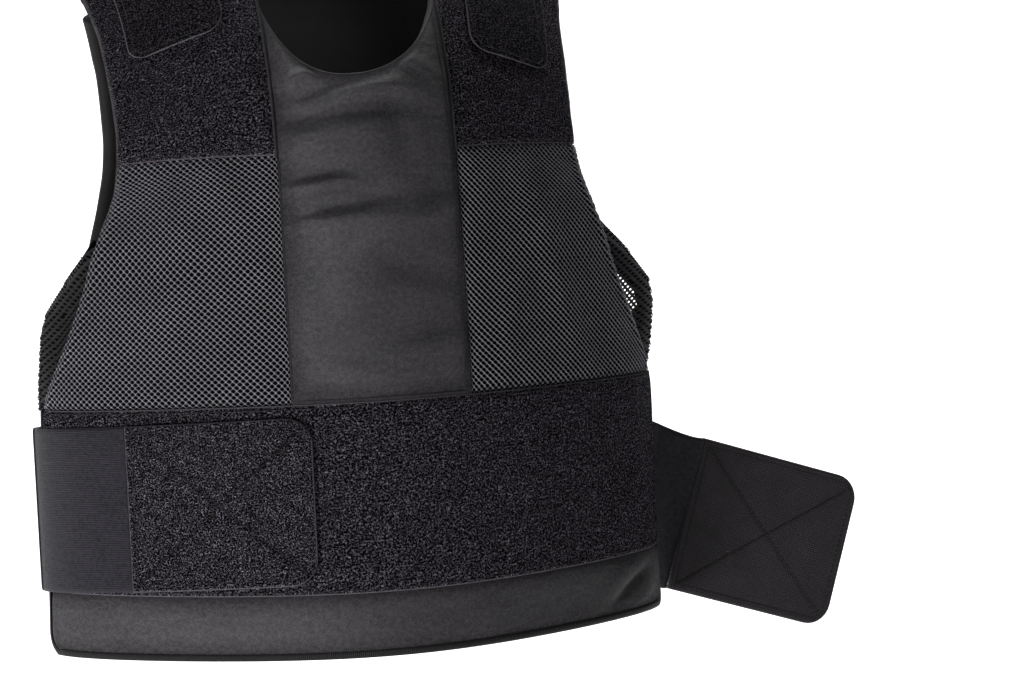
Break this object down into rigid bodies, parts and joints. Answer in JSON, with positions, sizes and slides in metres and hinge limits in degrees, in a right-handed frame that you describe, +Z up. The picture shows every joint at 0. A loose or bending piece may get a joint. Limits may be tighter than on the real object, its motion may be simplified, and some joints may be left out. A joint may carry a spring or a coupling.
{
  "type": "stab vest",
  "caption": "Black stab vest in its worn form: padded front and back panels, loop and mesh facings, hook-and-loop shoulder and waist straps, one waist strap open.",
  "frame": {"origin": "on the centre line, level with the top of the shoulders, where the straps rest on the wearer", "axes": "+Z up, the vest's front faces -Y, +X is the wearer's left"},
  "size_m": [0.5447, 0.236, 0.4681],
  "materials": {
    "twill": "matte charcoal twill",
    "loop": "black brushed loop pile",
    "hook": "matte charcoal hook tape",
    "mesh": "dark grey spacer mesh",
    "elastic": "smooth blue-black woven elastic",
    "lining": "matte black padded carrier cloth",
    "binding": "black grosgrain tape"
  },
  "bodies": {
    "root": {"front_carrier": "lining", "front_centre_facing": "twill", "front_mesh_right": "mesh", "front_mesh_left": "mesh", "front_shoulder_loop_right": "loop", "front_shoulder_loop_left": "loop", "front_belly_loop": "loop", "front_hem_facing": "twill", "front_hem_binding": "binding", "armhole_wing_right": "mesh", "armhole_wing_left": "mesh", "back_panel": "twill", "back_hem_binding": "binding", "shoulder_strap_right": "loop", "shoulder_strap_left": "loop", "waist_elastic_right": "elastic", "waist_loop_right": "loop", "waist_hook_right": "hook", "waist_elastic_left": "elastic", "waist_loop_left": "loop", "waist_hook_left": "hook"}
  },
  "joints": []
}
